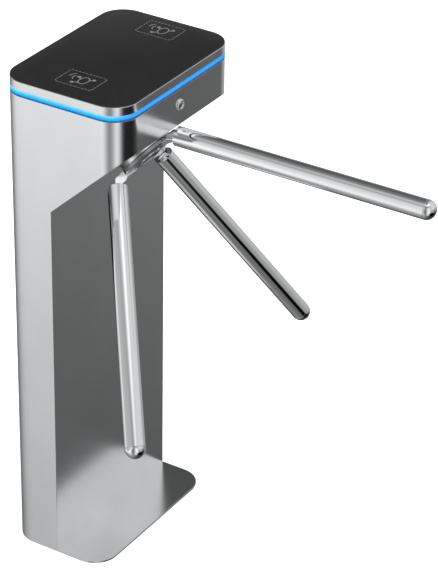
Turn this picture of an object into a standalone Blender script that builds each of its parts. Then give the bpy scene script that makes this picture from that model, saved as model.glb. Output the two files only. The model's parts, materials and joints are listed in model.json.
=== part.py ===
"""Visitor counter turnstile: a steel sheet cabinet with an overhanging head, and three arms on a slanted hub.

Metres, +Z up. The origin is the middle of the base plate's underside. +X points to the side where the arms
stand, and Y runs along the cabinet's long side.
"""

import bmesh
import bpy
from math import atan2, cos, pi, radians, sin, tan
from mathutils import Matrix, Vector

# Driving dimensions -----------------------------------------------------------------------------
HEIGHT = 0.980
DEPTH = 0.366
HEAD_LENGTH = 0.261
COLUMN_LENGTH = 0.1075
BASE_LENGTH = 0.210
BASE_THICKNESS = 0.004
CORNER_RADIUS = 0.049
NOSE_HEIGHT = 0.882
ELBOW_HEIGHT = 0.740
SHEET = 0.002
GAP = 0.0003

# The seam under the lid, from its lower to its upper edge, and the lid's panel.
SHELL_TOP = 0.9500
SKIRT_BOTTOM = 0.9620
SKIRT_TOP = 0.9782
SKIRT_WALL = 0.0025
SKIRT_FLANGE = 0.0155
LED_DEPTH = 0.0040
CORNER_STEPS = 8
RIM_LOW = 0.932
PANEL_HALF_WIDTH = 0.1095
PANEL_HEIGHTS = (0.1205, 0.6195)
PANEL_CLEARANCE = 0.0005
PANEL_FLANGE = 0.0085

# The tripod. An arm's line passes the shaft's axis at ARM_OFFSET, at ARM_APEX behind the slanted face.
SHAFT_ANGLE = radians(49.6)
SHAFT_RADIUS = 0.010
ARM_SPREAD = radians(37.7)
ARM_PHASE = radians(-9.04)
ARM_APEX = 0.0812
ARM_OFFSET = 0.0159
ARM_START = 0.134
ARM_END = 0.635
ARM_RADIUS = 0.0185
ARM_WALL = 0.0015
NECK_RADIUS = 0.0100
CONE_LENGTH = 0.0150
CONE_RADIUS = 0.0160
CONE_CLEARANCE = 0.0118
DISC_RADIUS = 0.060
DISC_LOW = 0.0090
DISC_HIGH = 0.0170

# The mechanism, along the shaft from the slanted face (negative is inside the head).
FRONT_PLATE = (-0.024, -0.018)
BACK_PLATE = (-0.122, -0.118)
PLATE_X = (-0.095, 0.060)
PLATE_HALF_WIDTH = 0.105
BACK_PLATE_HIGH_X = 0.045
SIDE_THICKNESS = 0.003
BEARING_OUTER = 0.021
CAM_SPAN = (-0.100, -0.090)
LOCK_DISC_SPAN = (-0.114, -0.106)
PAWL_SPAN = (-0.113, -0.107)
SENSOR_DISC_SPAN = (-0.1350, -0.1335)
LOCK_DISC_RADIUS = 0.038
NOTCH_COUNT = 12
DETENT_PIVOT = (0.036, 0.064)
ROLLER_CENTRE = (0.0, 0.049)
SPRING_HOOK = (-0.042, 0.060)
SPRING_POST = (-0.056, 0.016)
PAWL_PIVOT = (-0.035, 0.055)
PAWL_TAIL_Y = 0.085
PIN_RADIUS = 0.004

# Lid hinge and cam lock.
HINGE_INSET = 0.0045
HINGE_HEIGHT = 0.958
HINGE_HALF = 0.060
HINGE_KNUCKLE = 0.0195
BARREL_RADIUS = 0.0033
LOCK_HEIGHT = 0.920
LOCK_BODY_RADIUS = 0.008
PLUG_RADIUS = 0.0055
READER_Y = (-0.1154, 0.1365)
READER_X = 0.026

# Derived places ---------------------------------------------------------------------------------
REAR_X = -BASE_LENGTH / 2
HEAD_X = REAR_X + HEAD_LENGTH
COLUMN_X = REAR_X + COLUMN_LENGTH
HALF_DEPTH = DEPTH / 2
SLANT = Vector((HEAD_X - COLUMN_X, 0.0, NOSE_HEIGHT - ELBOW_HEIGHT)).normalized()
SLANT_NORMAL = Vector((SLANT.z, 0.0, -SLANT.x))
HUB_CENTRE = Vector(((COLUMN_X + HEAD_X) / 2, 0.0, (ELBOW_HEIGHT + NOSE_HEIGHT) / 2))
WEDGE = SHAFT_ANGLE - atan2(SLANT.z, SLANT.x)
SHAFT_FRAME = Matrix(
    (
        (cos(SHAFT_ANGLE), 0.0, sin(SHAFT_ANGLE), HUB_CENTRE.x),
        (0.0, -1.0, 0.0, HUB_CENTRE.y),
        (sin(SHAFT_ANGLE), 0.0, -cos(SHAFT_ANGLE), HUB_CENTRE.z),
        (0.0, 0.0, 0.0, 1.0),
    )
)
HINGE_X = REAR_X + HINGE_INSET


# Scene and object helpers -----------------------------------------------------------------------
def clear_scene():
    for old in list(bpy.data.objects):
        bpy.data.objects.remove(old, do_unlink=True)


MATERIALS = {
    "brushed_steel": ((0.42, 0.43, 0.44), 0.28, 1.0),
    "chrome": ((0.75, 0.76, 0.78), 0.10, 1.0),
    "black_glass": ((0.015, 0.015, 0.016), 0.12, 0.0),
    "black_plastic": ((0.03, 0.03, 0.032), 0.5, 0.0),
    "light_strip": ((0.02, 0.35, 0.95), 0.4, 0.0),
    "machined_steel": ((0.35, 0.35, 0.36), 0.35, 1.0),
    "zinc_plate": ((0.55, 0.56, 0.56), 0.4, 1.0),
    "spring_steel": ((0.3, 0.3, 0.32), 0.3, 1.0),
    "circuit_board": ((0.02, 0.16, 0.07), 0.5, 0.0),
    "aluminium": ((0.6, 0.61, 0.62), 0.4, 1.0),
    "rubber": ((0.02, 0.02, 0.02), 0.8, 0.0),
}


def material_for(name, kind):
    colour, roughness, metallic = MATERIALS[kind]
    material = bpy.data.materials.new(name + "_material")
    material.use_nodes = True
    shader = material.node_tree.nodes["Principled BSDF"]
    shader.inputs["Base Color"].default_value = (*colour, 1.0)
    shader.inputs["Roughness"].default_value = roughness
    shader.inputs["Metallic"].default_value = metallic
    return material


def empty(name, matrix, parent=None):
    holder = bpy.data.objects.new(name, None)
    bpy.context.scene.collection.objects.link(holder)
    holder.parent = parent
    holder.matrix_local = matrix
    return holder


def finish_mesh(name, mesh_data, kind, parent=None, smooth=True):
    """Turn a bmesh into a named object with its own material."""
    bmesh.ops.recalc_face_normals(mesh_data, faces=mesh_data.faces)
    mesh = bpy.data.meshes.new(name)
    mesh_data.to_mesh(mesh)
    mesh_data.free()
    obj = bpy.data.objects.new(name, mesh)
    bpy.context.scene.collection.objects.link(obj)
    obj.parent = parent
    if kind:
        mesh.materials.append(material_for(name, kind))
    if smooth:
        mesh.shade_smooth()
        mesh.set_sharp_from_angle(angle=radians(35))
    return obj


def combine(obj, tool, operation="DIFFERENCE"):
    """Add a Boolean whose tool is hidden from the build."""
    tool.hide_render = True
    tool.display_type = "WIRE"
    modifier = obj.modifiers.new(operation.title() + "_" + tool.name, "BOOLEAN")
    modifier.operation = operation
    modifier.object = tool
    modifier.solver = "EXACT"
    return obj


def move_origin(obj, point):
    """Put an object's origin at a point given in its parent's frame, and leave its shape where it is."""
    offset = Vector(point)
    obj.data.transform(Matrix.Translation(-offset))
    obj.location = obj.location + offset
    return obj


# Solids -----------------------------------------------------------------------------------------
def prism(name, outline, low, high, kind=None, parent=None, axis="Z", smooth=False):
    """Extrude a closed outline from low to high along an axis; for axis Y the outline holds (x, z)."""

    def place(a, b, c):
        if axis == "Z":
            return (a, b, c)
        if axis == "Y":
            return (a, c, b)
        return (c, a, b)

    data = bmesh.new()
    bottom = [data.verts.new(place(a, b, low)) for a, b in outline]
    top = [data.verts.new(place(a, b, high)) for a, b in outline]
    data.faces.new(bottom)
    data.faces.new(top)
    count = len(outline)
    for i in range(count):
        j = (i + 1) % count
        data.faces.new((bottom[i], bottom[j], top[j], top[i]))
    return finish_mesh(name, data, kind, parent, smooth)


def box(name, low, high, kind=None, parent=None):
    outline = [(low[0], low[1]), (high[0], low[1]), (high[0], high[1]), (low[0], high[1])]
    return prism(name, outline, low[2], high[2], kind, parent)


def turned(name, profile, kind=None, parent=None, steps=32, closed=False):
    """Turn a profile of (radius, height) about Z. A closed profile makes a ring; others end on the axis."""
    data = bmesh.new()
    rings = []
    for radius, height in profile:
        if radius == 0.0:
            rings.append([data.verts.new((0.0, 0.0, height))])
            continue
        turn = [2 * pi * k / steps for k in range(steps)]
        rings.append([data.verts.new((radius * cos(a), radius * sin(a), height)) for a in turn])
    pairs = list(zip(rings, rings[1:]))
    if closed:
        pairs.append((rings[-1], rings[0]))
    for first, second in pairs:
        for k in range(steps):
            n = (k + 1) % steps
            lower = (first[k % len(first)], first[n % len(first)])
            upper = (second[n % len(second)], second[k % len(second)])
            corners = lower + upper
            data.faces.new(list(dict.fromkeys(corners)))
    return finish_mesh(name, data, kind, parent)


def tube(name, inner, outer, low, high, kind=None, parent=None, steps=32):
    profile = [(inner, low), (outer, low), (outer, high), (inner, high)]
    return turned(name, profile, kind, parent, steps, closed=True)


def rod(name, radius, low, high, kind=None, parent=None, steps=20):
    profile = [(0.0, low), (radius, low), (radius, high), (0.0, high)]
    return turned(name, profile, kind, parent, steps)


def hull(name, points, kind=None, parent=None):
    data = bmesh.new()
    for point in points:
        data.verts.new(point)
    bmesh.ops.convex_hull(data, input=data.verts)
    loose = [vertex for vertex in data.verts if not vertex.link_faces]
    bmesh.ops.delete(data, geom=loose, context="VERTS")
    return finish_mesh(name, data, kind, parent, smooth=False)


def arc(centre, radius, start, stop, steps):
    """Points on an arc, angles in degrees, both ends included."""
    found = []
    for k in range(steps + 1):
        angle = radians(start + (stop - start) * k / steps)
        found.append((centre[0] + radius * cos(angle), centre[1] + radius * sin(angle)))
    return found


def circle(centre, radius, steps):
    return arc(centre, radius, 0, 360 - 360 / steps, steps - 1)


def contour(inset, length=HEAD_LENGTH, steps=CORNER_STEPS):
    """The cabinet's rounded rectangle, drawn in by inset: one arc for each corner, counter-clockwise."""
    near_x = REAR_X + CORNER_RADIUS
    far_x = REAR_X + length - CORNER_RADIUS
    side_y = HALF_DEPTH - CORNER_RADIUS
    corners = (
        ((far_x, -side_y), -90),
        ((far_x, side_y), 0),
        ((near_x, side_y), 90),
        ((near_x, -side_y), 180),
    )
    radius = CORNER_RADIUS - inset
    return [arc(centre, radius, start, start + 90, steps) for centre, start in corners]


def whole_contour(inset, length=HEAD_LENGTH, steps=CORNER_STEPS):
    return [point for corner in contour(inset, length, steps) for point in corner]


def swept_ring(name, profile, kind, parent=None):
    """Sweep a closed profile of (inset, height) round the cabinet's contour."""
    data = bmesh.new()
    rows = [[data.verts.new((x, y, height)) for x, y in whole_contour(inset)] for inset, height in profile]
    stations = len(rows[0])
    for i in range(len(rows)):
        low = rows[i]
        high = rows[(i + 1) % len(rows)]
        for k in range(stations):
            n = (k + 1) % stations
            data.faces.new((low[k], low[n], high[n], high[k]))
    return finish_mesh(name, data, kind, parent)


def rounded_slab(name, rings, kind, parent=None, length=HEAD_LENGTH):
    """Stack rounded rectangles given as (inset, height), and close the lowest and the highest."""
    data = bmesh.new()
    rows = []
    for inset, height in rings:
        rows.append([data.verts.new((x, y, height)) for x, y in whole_contour(inset, length)])
    stations = len(rows[0])
    for low, high in zip(rows, rows[1:]):
        for k in range(stations):
            n = (k + 1) % stations
            data.faces.new((low[k], low[n], high[n], high[k]))
    data.faces.new(rows[0])
    data.faces.new(rows[-1])
    return finish_mesh(name, data, kind, parent)


# Cabinet ----------------------------------------------------------------------------------------
def slant_line(offset, x):
    """Height of the slanted face's plane, drawn inwards by offset, at a given x."""
    start = Vector((COLUMN_X, 0.0, ELBOW_HEIGHT)) - SLANT_NORMAL * offset
    return start.z + (x - start.x) * SLANT.z / SLANT.x


def make_base_plate():
    plate = rounded_slab("base_plate", [(0, 0), (0, BASE_THICKNESS)], "brushed_steel", length=BASE_LENGTH)
    hole = rod("cable_hole", 0.022, -0.01, 0.02)
    hole.location = (-0.050, 0.0, 0.0)
    combine(plate, hole)
    grommet_profile = [
        (0.0150, 0.0006),
        (0.0217, 0.0006),
        (0.0217, BASE_THICKNESS + GAP),
        (0.0260, BASE_THICKNESS + GAP),
        (0.0260, 0.0066),
        (0.0150, 0.0066),
    ]
    grommet = turned("cable_grommet", grommet_profile, "rubber", steps=24, closed=True)
    grommet.location = hole.location
    number = 0
    for x in (-0.080, -0.022):
        for y in (-0.125, 0.125):
            number += 1
            drill = rod(f"anchor_hole_{number}", 0.0068, -0.01, 0.02, steps=16)
            drill.location = (x, y, 0.0)
            combine(plate, drill)
            make_anchor_bolt(number, x, y)


def make_anchor_bolt(number, x, y):
    washer_low = BASE_THICKNESS + GAP
    profile = [
        (0.0, 0.0006),
        (0.0060, 0.0006),
        (0.0060, washer_low),
        (0.0120, washer_low),
        (0.0120, washer_low + 0.0022),
        (0.0060, washer_low + 0.0022),
        (0.0060, 0.0240),
        (0.0, 0.0250),
    ]
    bolt = turned(f"anchor_bolt_{number}", profile, "zinc_plate", steps=14)
    nut = rod(f"anchor_nut_{number}", 0.0104, washer_low + 0.0010, 0.0160, steps=6)
    combine(bolt, nut, "UNION")
    for piece in (bolt, nut):
        piece.location = (x, y, 0.0)


def make_housing_shell():
    low = BASE_THICKNESS + GAP
    profile = [(0, low), (0, SHELL_TOP), (SHEET, SHELL_TOP), (SHEET, low)]
    shell = swept_ring("housing_shell", profile, "brushed_steel")
    beyond = HEAD_X + 0.03
    recess = [
        (COLUMN_X, -0.05),
        (beyond, -0.05),
        (beyond, slant_line(0, beyond)),
        (COLUMN_X, ELBOW_HEIGHT),
    ]
    combine(shell, prism("recess_cutter", recess, -0.25, 0.25, axis="Y"))
    half_width = PANEL_HALF_WIDTH + PANEL_CLEARANCE
    opening_low = (REAR_X - 0.01, -half_width, PANEL_HEIGHTS[0] - PANEL_CLEARANCE)
    opening_high = (REAR_X + 0.01, half_width, PANEL_HEIGHTS[1] + PANEL_CLEARANCE)
    combine(shell, box("service_opening", opening_low, opening_high))
    lock_hole = rod("lock_hole", LOCK_BODY_RADIUS + GAP, -0.02, 0.02)
    lock_hole.location = (HEAD_X, 0.0, LOCK_HEIGHT)
    lock_hole.rotation_euler = (0.0, pi / 2, 0.0)
    combine(shell, lock_hole)


def make_recess_panel():
    """One bent sheet: the column's inner side, and the slanted face that the hub stands on."""
    low = BASE_THICKNESS + GAP
    inner_x = COLUMN_X - SHEET
    outline = [
        (COLUMN_X, low),
        (COLUMN_X, ELBOW_HEIGHT),
        (HEAD_X, slant_line(0, HEAD_X)),
        (HEAD_X, slant_line(SHEET, HEAD_X)),
        (inner_x, slant_line(SHEET, inner_x)),
        (inner_x, low),
    ]
    panel = prism("recess_panel", outline, -0.25, 0.25, "brushed_steel", axis="Y")
    inside = rounded_slab("shell_inside", [(SHEET + GAP, -0.1), (SHEET + GAP, 1.1)], None)
    combine(panel, inside, "INTERSECT")
    hole = rod("hub_hole", 0.0210, -0.04, 0.04)
    hole.matrix_world = SHAFT_FRAME
    combine(panel, hole)


def make_rear_service_panel():
    """A flush panel in the rear of the sheet, with a flange all round behind it."""
    half_width = PANEL_HALF_WIDTH
    low, high = PANEL_HEIGHTS
    flange_x = REAR_X + SHEET + GAP
    front_high = (flange_x + 0.001, half_width, high)
    outer = box("rear_service_panel", (REAR_X, -half_width, low), front_high, "brushed_steel")
    flange_low = (flange_x, -half_width - PANEL_FLANGE, low - PANEL_FLANGE)
    flange_high = (flange_x + 0.0015, half_width + PANEL_FLANGE, high + PANEL_FLANGE)
    combine(outer, box("service_flange", flange_low, flange_high), "UNION")


def make_seam():
    """The dark rim in the seam under the lid, and the light strip along the two sides that visitors see."""
    shelf = SHELL_TOP - 0.004
    inner = LED_DEPTH + GAP + 0.003
    top = SKIRT_BOTTOM - GAP
    profile = [
        (SHEET + GAP, RIM_LOW),
        (SHEET + GAP, shelf),
        (LED_DEPTH + GAP, shelf),
        (LED_DEPTH + GAP, top),
        (inner, top),
        (inner, RIM_LOW),
    ]
    rim = swept_ring("seam_frame", profile, "black_plastic")
    notch_half = HINGE_HALF + 0.002
    notch_low = (REAR_X - 0.01, -notch_half, shelf - 0.0005)
    combine(rim, box("hinge_notch", notch_low, (REAR_X + 0.02, notch_half, HEIGHT)))

    low = SHELL_TOP + GAP
    middle = CORNER_STEPS * 3 // 8

    def visible_run(inset):
        right_front, right_rear, _, left_front = contour(inset)
        return left_front[middle:] + right_front + right_rear[: middle + 1]

    data = bmesh.new()
    rows = []
    for inset, height in ((GAP, low), (GAP, top), (LED_DEPTH, top), (LED_DEPTH, low)):
        rows.append([data.verts.new((x, y, height)) for x, y in visible_run(inset)])
    for i in range(4):
        first = rows[i]
        second = rows[(i + 1) % 4]
        for k in range(len(first) - 1):
            data.faces.new((first[k], first[k + 1], second[k + 1], second[k]))
    data.faces.new([row[0] for row in rows])
    data.faces.new([row[-1] for row in rows])
    finish_mesh("led_strip", data, "light_strip")


def make_equipment():
    """The power supply and the controller board, on the recess panel's inner face."""
    wall = COLUMN_X - SHEET - GAP
    supply = box("power_supply", (wall - 0.052, -0.050, 0.110), (wall, 0.050, 0.250), "aluminium")
    edge = supply.modifiers.new("Edges", "BEVEL")
    edge.width = 0.002
    edge.segments = 1

    board_x = wall - 0.0380
    board_low = (board_x - 0.0016, -0.075, 0.330)
    board = box("controller_board", board_low, (board_x, 0.075, 0.490), "circuit_board")
    blocks = (
        ("relay_block", (-0.0165, -0.060, 0.350), (-0.0010, -0.020, 0.375)),
        ("terminal_row", (-0.0120, -0.060, 0.466), (-0.0010, 0.060, 0.482)),
        ("processor_block", (-0.0045, 0.000, 0.395), (-0.0010, 0.030, 0.425)),
    )
    for name, low, high in blocks:
        combine(board, box(name, (board_x + low[0], *low[1:]), (board_x + high[0], *high[1:])), "UNION")
    for number, (y, z) in enumerate(((-0.068, 0.337), (0.068, 0.337), (-0.068, 0.483), (0.068, 0.483)), 1):
        standoff = rod(f"standoff_{number}", 0.004, -0.001, 0.0380, steps=10)
        standoff.location = (board_x, y, z)
        standoff.rotation_euler = (0.0, pi / 2, 0.0)
        combine(board, standoff, "UNION")


# Mechanism chassis ------------------------------------------------------------------------------
def make_hub_collar(shaft):
    """A ring with a wedge-shaped foot: it stands on the slanted face and ends square to the shaft."""
    inner, outer, top, steps = 0.0175, 0.054, DISC_LOW - 0.0007, 48
    data = bmesh.new()
    rows = [[], [], [], []]
    for k in range(steps):
        angle = 2 * pi * k / steps
        for row, radius, on_face in zip(rows, (inner, outer, outer, inner), (True, True, False, False)):
            x, y = radius * cos(angle), radius * sin(angle)
            foot = x * tan(WEDGE) + GAP / cos(WEDGE)
            row.append(data.verts.new((x, y, foot if on_face else top)))
    for i in range(4):
        first = rows[i]
        second = rows[(i + 1) % 4]
        for k in range(steps):
            n = (k + 1) % steps
            data.faces.new((first[k], first[n], second[n], second[k]))
    finish_mesh("hub_collar", data, "brushed_steel", shaft)


def make_chassis(shaft):
    front_low, front_high = FRONT_PLATE
    plate = box(
        "bearing_plate",
        (PLATE_X[0], -PLATE_HALF_WIDTH, front_low),
        (PLATE_X[1], PLATE_HALF_WIDTH, front_high),
        "zinc_plate",
        shaft,
    )
    combine(plate, rod("bearing_plate_bore", 0.0220, front_low - 0.01, front_high + 0.01, parent=shaft))
    post = rod("spring_post", 0.003, -0.086, front_high - 0.001, parent=shaft, steps=12)
    post.location = (*SPRING_POST, 0.0)
    combine(plate, post, "UNION")

    back_low, back_high = BACK_PLATE
    back = box(
        "back_plate",
        (PLATE_X[0], -PLATE_HALF_WIDTH, back_low),
        (BACK_PLATE_HIGH_X, PLATE_HALF_WIDTH, back_high),
        "zinc_plate",
        shaft,
    )
    combine(back, rod("back_plate_bore", 0.0140, back_low - 0.01, back_high + 0.01, parent=shaft))

    clear = SHEET / cos(WEDGE) + 2 * GAP
    side = [
        (PLATE_X[0], back_low),
        (BACK_PLATE_HIGH_X, back_low),
        (PLATE_X[1], back_low / 2),
        (PLATE_X[1], PLATE_X[1] * tan(WEDGE) - clear),
        (PLATE_X[0], PLATE_X[0] * tan(WEDGE) - clear),
    ]
    inner = PLATE_HALF_WIDTH + 2 * GAP
    for name, sign in (("chassis_side_right", -1), ("chassis_side_left", 1)):
        spans = sorted((sign * inner, sign * (inner + SIDE_THICKNESS)))
        prism(name, side, *spans, "zinc_plate", shaft, axis="Y")


def make_bearings(shaft):
    bore = BEARING_OUTER + GAP
    flange_high = FRONT_PLATE[0] - GAP
    profile = [
        (bore, -0.085),
        (0.029, -0.085),
        (0.029, -0.0303),
        (0.045, -0.0303),
        (0.045, flange_high),
        (bore, flange_high),
    ]
    turned("bearing_housing", profile, "machined_steel", shaft, closed=True)
    inner = SHAFT_RADIUS + GAP
    tube("front_bearing", inner, BEARING_OUTER, -0.0400, -0.0280, "machined_steel", shaft, 24)
    tube("rear_bearing", inner, BEARING_OUTER, -0.0830, -0.0710, "machined_steel", shaft, 24)


def make_position_sensor(shaft):
    near, far = -0.028, -0.052
    slot_bottom = -0.038
    slot_low, slot_high = SENSOR_DISC_SPAN[0] - 0.0015, SENSOR_DISC_SPAN[1] + 0.0015
    top, bottom = BACK_PLATE[0] - GAP, -0.145
    fork = [
        (far, top),
        (near, top),
        (near, slot_high),
        (slot_bottom, slot_high),
        (slot_bottom, slot_low),
        (near, slot_low),
        (near, bottom),
        (far, bottom),
    ]
    prism("position_sensor", fork, -0.008, 0.008, "black_plastic", shaft, axis="Y")


# Tripod -----------------------------------------------------------------------------------------
def make_main_shaft(tripod):
    profile = [
        (0.0, -0.150),
        (0.0090, -0.150),
        (SHAFT_RADIUS, -0.149),
        (SHAFT_RADIUS, -0.0706),
        (0.0135, -0.0706),
        (0.0135, -0.0404),
        (SHAFT_RADIUS, -0.0404),
        (SHAFT_RADIUS, DISC_HIGH - 0.0005),
        (0.0, DISC_HIGH - 0.0005),
    ]
    shaft = turned("main_shaft", profile, "machined_steel", tripod, steps=24)
    combine(shaft, rod("shaft_nut", 0.0165, -0.148, -0.139, parent=tripod, steps=6), "UNION")


def make_hub(tripod):
    bore = SHAFT_RADIUS + GAP
    profile = [
        (bore, -0.014),
        (0.0165, -0.014),
        (0.0165, DISC_LOW),
        (DISC_RADIUS - 0.001, DISC_LOW),
        (DISC_RADIUS, DISC_LOW + 0.001),
        (DISC_RADIUS, DISC_HIGH - 0.0015),
        (DISC_RADIUS - 0.0015, DISC_HIGH),
        (bore, DISC_HIGH),
    ]
    turned("hub_disc", profile, "chrome", tripod, steps=48, closed=True)
    low = DISC_HIGH + GAP
    cap_radius, cap_height = 0.026, 0.006
    dome = [(0.0, low), (cap_radius, low)]
    for k in range(5):
        angle = k * pi / 8
        dome.append((cap_radius * cos(angle), low + 0.0015 + (cap_height - 0.0015) * sin(angle)))
    dome[-1] = (0.0, dome[-1][1])
    turned("hub_cap", dome, "chrome", tripod, steps=32)


def make_arm(tripod, number):
    """A knuckle on the disc's rim, the tube, and its rounded end, all in the arm's own frame."""
    turn = ARM_PHASE + (number - 1) * 2 * pi / 3
    frame = empty(f"arm_{number}_frame", Matrix.Rotation(turn, 4, "Z"), tripod)
    apex = Vector((0.0, ARM_OFFSET, -ARM_APEX))
    direction = Vector((sin(ARM_SPREAD), 0.0, cos(ARM_SPREAD)))
    root = apex + direction * ARM_START
    line = empty(f"arm_{number}_line", Matrix.Translation(apex) @ Matrix.Rotation(ARM_SPREAD, 4, "Y"), frame)

    bore = ARM_RADIUS - ARM_WALL - GAP
    cap_start = ARM_END - ARM_RADIUS
    inner = ARM_RADIUS - ARM_WALL
    tube(f"arm_tube_{number}", inner, ARM_RADIUS, ARM_START, cap_start - GAP, "chrome", line, 28)
    end = [(0.0, cap_start - 0.016), (bore, cap_start - 0.016), (bore, cap_start), (ARM_RADIUS, cap_start)]
    for k in range(1, 6):
        angle = k * pi / 10
        end.append((ARM_RADIUS * cos(angle), cap_start + ARM_RADIUS * sin(angle)))
    end[-1] = (0.0, ARM_END)
    turned(f"arm_cap_{number}", end, "chrome", line, steps=28)

    knuckle = make_knuckle(number, root, direction, frame)
    plug = rod(f"arm_plug_{number}", bore, ARM_START - 0.0002, ARM_START + 0.030, parent=line, steps=20)
    combine(knuckle, plug, "UNION")


def make_knuckle(number, root, direction, frame):
    """A faceted cone that widens from the tube's end to the disc's rim, with a tongue over the disc."""
    outward = Vector((root.x, root.y, 0.0)).normalized()
    sideways = Vector((-outward.y, outward.x, 0.0))
    up = Vector((0.0, 0.0, 1.0))
    across = direction.cross(sideways).normalized()
    beside = across.cross(direction).normalized()
    points = []
    for back, radius in ((0.0, NECK_RADIUS), (CONE_LENGTH, CONE_RADIUS)):
        for k in range(6):
            angle = k * pi / 3
            point = root - back * direction + radius * (cos(angle) * across + sin(angle) * beside)
            point.z = max(point.z, CONE_CLEARANCE)
            points.append(point)
    rim = DISC_RADIUS + 0.0006
    section = (
        (rim, 0.0100, 0.0125),
        (rim, 0.0225, 0.0125),
        (0.0740, 0.0112, 0.0130),
        (0.0665, 0.0262, 0.0105),
    )
    for out, height, half in section:
        for side in (-half, half):
            points.append(out * outward + height * up + side * sideways)
    knuckle = hull(f"arm_knuckle_{number}", points, "chrome", frame)
    tongue_low = DISC_HIGH + GAP
    tongue = []
    for out, half in ((0.036, 0.0075), (0.042, 0.0110), (0.0680, 0.0110)):
        for height in (tongue_low, tongue_low + 0.0055):
            for side in (-half, half):
                tongue.append(out * outward + height * up + side * sideways)
    combine(knuckle, hull(f"arm_tongue_{number}", tongue, None, frame), "UNION")
    return knuckle


def notched_disc(name, radius, depth, half_width, span, kind, tripod):
    """A disc with NOTCH_COUNT square notches, one of them on each side of the axis along Y."""
    half_angle = half_width / radius
    pitch = 2 * pi / NOTCH_COUNT
    floor = radius - depth
    outline = []
    for k in range(NOTCH_COUNT):
        middle = k * pitch
        outline.append((middle - half_angle * radius / floor, floor))
        outline.append((middle + half_angle * radius / floor, floor))
        outline.append((middle + half_angle, radius))
        outline.append((middle + pitch / 2, radius))
        outline.append((middle + pitch - half_angle, radius))
    points = [(r * cos(a), r * sin(a)) for a, r in outline]
    disc = prism(name, points, *span, kind, tripod)
    low, high = span[0] - 0.01, span[1] + 0.01
    combine(disc, rod(name + "_bore", SHAFT_RADIUS + GAP, low, high, parent=tripod, steps=24))


def make_shaft_discs(tripod):
    cam = []
    for k in range(72):
        angle = 2 * pi * k / 72
        radius = 0.034 - 0.006 * cos(3 * (angle - pi / 2))
        cam.append((radius * cos(angle), radius * sin(angle)))
    cam_disc = prism("index_cam", cam, *CAM_SPAN, "machined_steel", tripod, smooth=True)
    combine(cam_disc, rod("index_cam_bore", SHAFT_RADIUS + GAP, -0.11, -0.08, parent=tripod, steps=24))
    notched_disc("lock_disc", LOCK_DISC_RADIUS, 0.006, 0.0045, LOCK_DISC_SPAN, "machined_steel", tripod)
    notched_disc("sensor_disc", 0.034, 0.008, 0.0020, SENSOR_DISC_SPAN, "aluminium", tripod)


# Detent and pawls -------------------------------------------------------------------------------
def make_detent(shaft):
    pin_low, pin_high = BACK_PLATE[1] + GAP, FRONT_PLATE[0] - GAP
    pin = rod("detent_pivot_pin", PIN_RADIUS, pin_low, pin_high, "machined_steel", shaft, 14)
    pin.location = (*DETENT_PIVOT, 0.0)

    lever_low, lever_high = -0.0880, -0.0840
    rims = circle(DETENT_PIVOT, 0.009, 16) + circle(ROLLER_CENTRE, 0.008, 12) + circle(SPRING_HOOK, 0.006, 12)
    corners = [(x, y, z) for x, y in rims for z in (lever_low, lever_high)]
    plate = hull("detent_lever", corners, "zinc_plate", shaft)
    stub = rod("roller_stub", 0.003, -0.0992, lever_high - 0.001, parent=shaft, steps=12)
    stub.location = (*ROLLER_CENTRE, 0.0)
    hook = rod("spring_hook", 0.002, lever_low + 0.001, -0.0770, parent=shaft, steps=10)
    hook.location = (*SPRING_HOOK, 0.0)
    hole = rod("lever_hole", PIN_RADIUS + GAP, -0.10, -0.07, parent=shaft, steps=14)
    hole.location = (*DETENT_PIVOT, 0.0)
    combine(plate, stub, "UNION")
    combine(plate, hook, "UNION")
    combine(plate, hole)
    move_origin(plate, (*DETENT_PIVOT, 0.0))

    roller = tube("detent_roller", 0.0033, 0.008, -0.0990, -0.0910, "machined_steel", shaft, 20)
    roller.location = (*ROLLER_CENTRE, 0.0)
    make_detent_spring(shaft)


def make_detent_spring(shaft):
    """A tension spring between the lever's hook and the post, drawn as a coil of round wire."""
    coil_radius, wire_radius, turns, per_turn = 0.0040, 0.0007, 9, 12
    height = -0.0805
    start = Vector((*SPRING_HOOK, height))
    stop = Vector((*SPRING_POST, height))
    along = (stop - start).normalized()
    start += along * 0.0055
    stop -= along * 0.0065
    side = along.cross(Vector((0.0, 0.0, 1.0))).normalized()
    up = side.cross(along)
    curve = bpy.data.curves.new("detent_spring", "CURVE")
    curve.dimensions = "3D"
    curve.bevel_depth = wire_radius
    curve.bevel_resolution = 1
    curve.use_fill_caps = True
    wire = curve.splines.new("POLY")
    count = turns * per_turn
    wire.points.add(count)
    for k in range(count + 1):
        angle = 2 * pi * k / per_turn
        ring = coil_radius * (cos(angle) * side + sin(angle) * up)
        wire.points[k].co = (*(start.lerp(stop, k / count) + ring), 1.0)
    spring = bpy.data.objects.new("detent_spring", curve)
    bpy.context.scene.collection.objects.link(spring)
    spring.parent = shaft
    curve.materials.append(material_for("detent_spring", "spring_steel"))


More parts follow.
